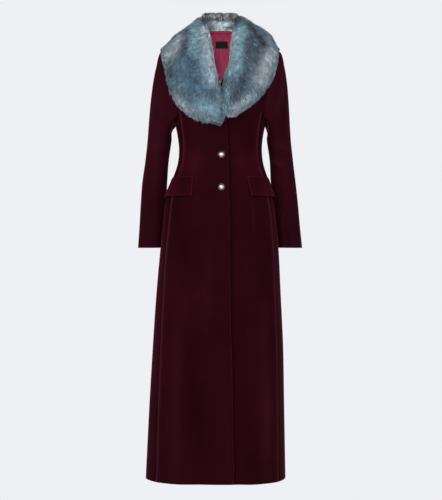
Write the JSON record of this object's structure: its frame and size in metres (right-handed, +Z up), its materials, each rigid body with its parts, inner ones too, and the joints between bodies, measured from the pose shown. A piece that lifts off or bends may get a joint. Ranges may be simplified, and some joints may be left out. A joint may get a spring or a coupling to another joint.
{
  "type": "velvet coat with fur shawl collar",
  "caption": "Long fitted velvet coat with a wide fur shawl collar, slim sleeves, hip pocket flaps and a buttoned front, hollow as worn.",
  "frame": {"origin": "middle of the neck base, where the wearer's neck and shoulders hold the coat up", "axes": "+Z up, front of the coat faces -Y, wearer's right is -X"},
  "size_m": [0.5185, 0.3031, 1.4453],
  "materials": {
    "velvet": "deep burgundy velvet with a soft sheen",
    "fur": "long blue-grey fur with taupe guard hairs",
    "lining": "raspberry satin lining",
    "label": "plain black woven label",
    "button": "polished silver dome in a dark rim"
  },
  "bodies": {
    "root": {"front_right": "velvet", "front_left": "velvet", "side_right": "velvet", "side_left": "velvet", "back_right": "velvet", "back_left": "velvet", "sleeve_upper_right": "velvet", "sleeve_under_right": "velvet", "sleeve_upper_left": "velvet", "sleeve_under_left": "velvet", "flap_right": "velvet", "flap_left": "velvet", "collar_right": "fur", "collar_left": "fur", "lining_back": "lining", "label": "label", "button_upper": "button", "button_lower": "button"}
  },
  "joints": []
}
